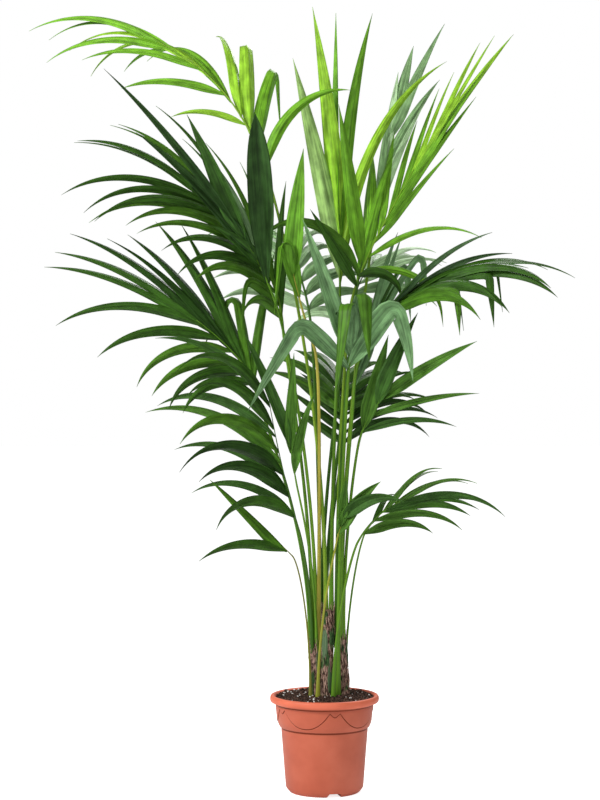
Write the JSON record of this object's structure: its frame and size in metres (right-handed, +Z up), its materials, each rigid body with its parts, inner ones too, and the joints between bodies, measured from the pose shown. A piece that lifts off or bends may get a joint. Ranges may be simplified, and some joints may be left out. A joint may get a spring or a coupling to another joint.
{
  "type": "kentia palm",
  "caption": "Clump of slender green palm stalks with arching feathered fronds, growing in a round terracotta-coloured plastic pot that stands on its flat underside.",
  "frame": {"origin": "centre of the pot's flat underside, at the level it stands on", "axes": "+Z up; the plant's front faces -Y; +X is to the right as seen from the front"},
  "size_m": [1.2204, 0.856, 1.774],
  "materials": {
    "pot": "satin moulded plastic, terracotta colour",
    "soil": "moist potting compost with white perlite grains",
    "trunk": "fibrous dry leaf sheaths",
    "stalk": "smooth waxy green stalk",
    "leaf": "satin green leaf, paler beneath"
  },
  "bodies": {
    "root": {"pot": "pot", "soil": "soil", "trunk_left": "trunk", "trunk_middle": "trunk", "trunk_right": "trunk", "trunk_back": "trunk", "stalk_top_left": "stalk", "stalk_upright": "stalk", "stalk_top_right": "stalk", "stalk_high_back": "stalk", "stalk_left_dark": "stalk", "stalk_front_left": "stalk", "stalk_front_mid": "stalk", "stalk_left_mid": "stalk", "stalk_left_low": "stalk", "stalk_front_low": "stalk", "stalk_centre": "stalk", "stalk_bifid": "stalk", "stalk_yellow": "stalk", "stalk_green_low": "stalk", "stalk_green_behind": "stalk", "stalk_right_mid": "stalk", "stalk_right_behind": "stalk", "stalk_right_high": "stalk", "stalk_near_fall": "stalk", "stalk_back_low": "stalk", "stalk_back_left": "stalk", "stalk_back_right": "stalk", "frond_top_left": "leaf", "frond_upright": "leaf", "frond_top_right": "leaf", "frond_high_back": "leaf", "frond_left_dark": "leaf", "frond_front_left": "leaf", "frond_front_mid": "leaf", "frond_left_mid": "leaf", "frond_left_low": "leaf", "frond_front_low": "leaf", "frond_centre": "leaf", "frond_bifid": "leaf", "frond_yellow": "leaf", "frond_green_low": "leaf", "frond_green_behind": "leaf", "frond_right_mid": "leaf", "frond_right_behind": "leaf", "frond_right_high": "leaf", "frond_near_fall": "leaf", "frond_back_low": "leaf", "frond_back_left": "leaf", "frond_back_right": "leaf"}
  },
  "joints": []
}
